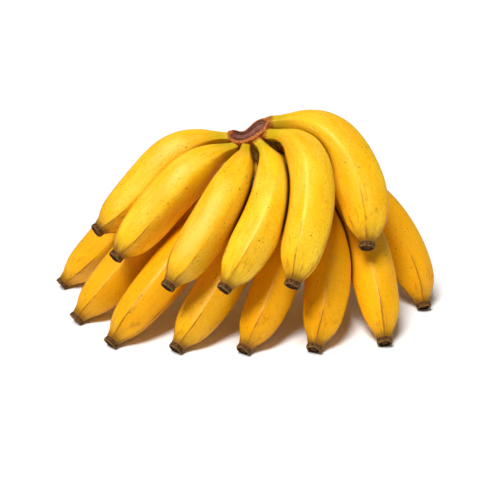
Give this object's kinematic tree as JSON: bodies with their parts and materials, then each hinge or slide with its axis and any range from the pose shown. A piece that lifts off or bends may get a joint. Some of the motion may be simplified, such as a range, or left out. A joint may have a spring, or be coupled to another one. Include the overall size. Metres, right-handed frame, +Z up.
{
  "type": "bunch of bananas",
  "caption": "Hand of ripe bananas in two fanned rows on one cut crown, lying on its flower ends.",
  "frame": {"origin": "on the surface that the hand lies on, under the middle of its bounding box", "axes": "+X to the hand's right as seen from the front, along the fan; +Y from the front to the back; +Z up"},
  "size_m": [0.3247, 0.1545, 0.1627],
  "materials": {
    "peel": "satin",
    "crown": "matte",
    "flower_end": "matte"
  },
  "bodies": {
    "root": {"crown": "crown", "upper_finger_1": "peel", "upper_finger_2": "peel", "upper_finger_3": "peel", "upper_finger_4": "peel", "upper_finger_5": "peel", "upper_finger_6": "peel", "lower_finger_1": "peel", "lower_finger_2": "peel", "lower_finger_3": "peel", "lower_finger_4": "peel", "lower_finger_5": "peel", "lower_finger_6": "peel", "lower_finger_7": "peel", "lower_finger_8": "peel", "upper_flower_end_1": "flower_end", "upper_flower_end_2": "flower_end", "upper_flower_end_3": "flower_end", "upper_flower_end_4": "flower_end", "upper_flower_end_5": "flower_end", "upper_flower_end_6": "flower_end", "lower_flower_end_1": "flower_end", "lower_flower_end_2": "flower_end", "lower_flower_end_3": "flower_end", "lower_flower_end_4": "flower_end", "lower_flower_end_5": "flower_end", "lower_flower_end_6": "flower_end", "lower_flower_end_7": "flower_end", "lower_flower_end_8": "flower_end"}
  },
  "joints": []
}
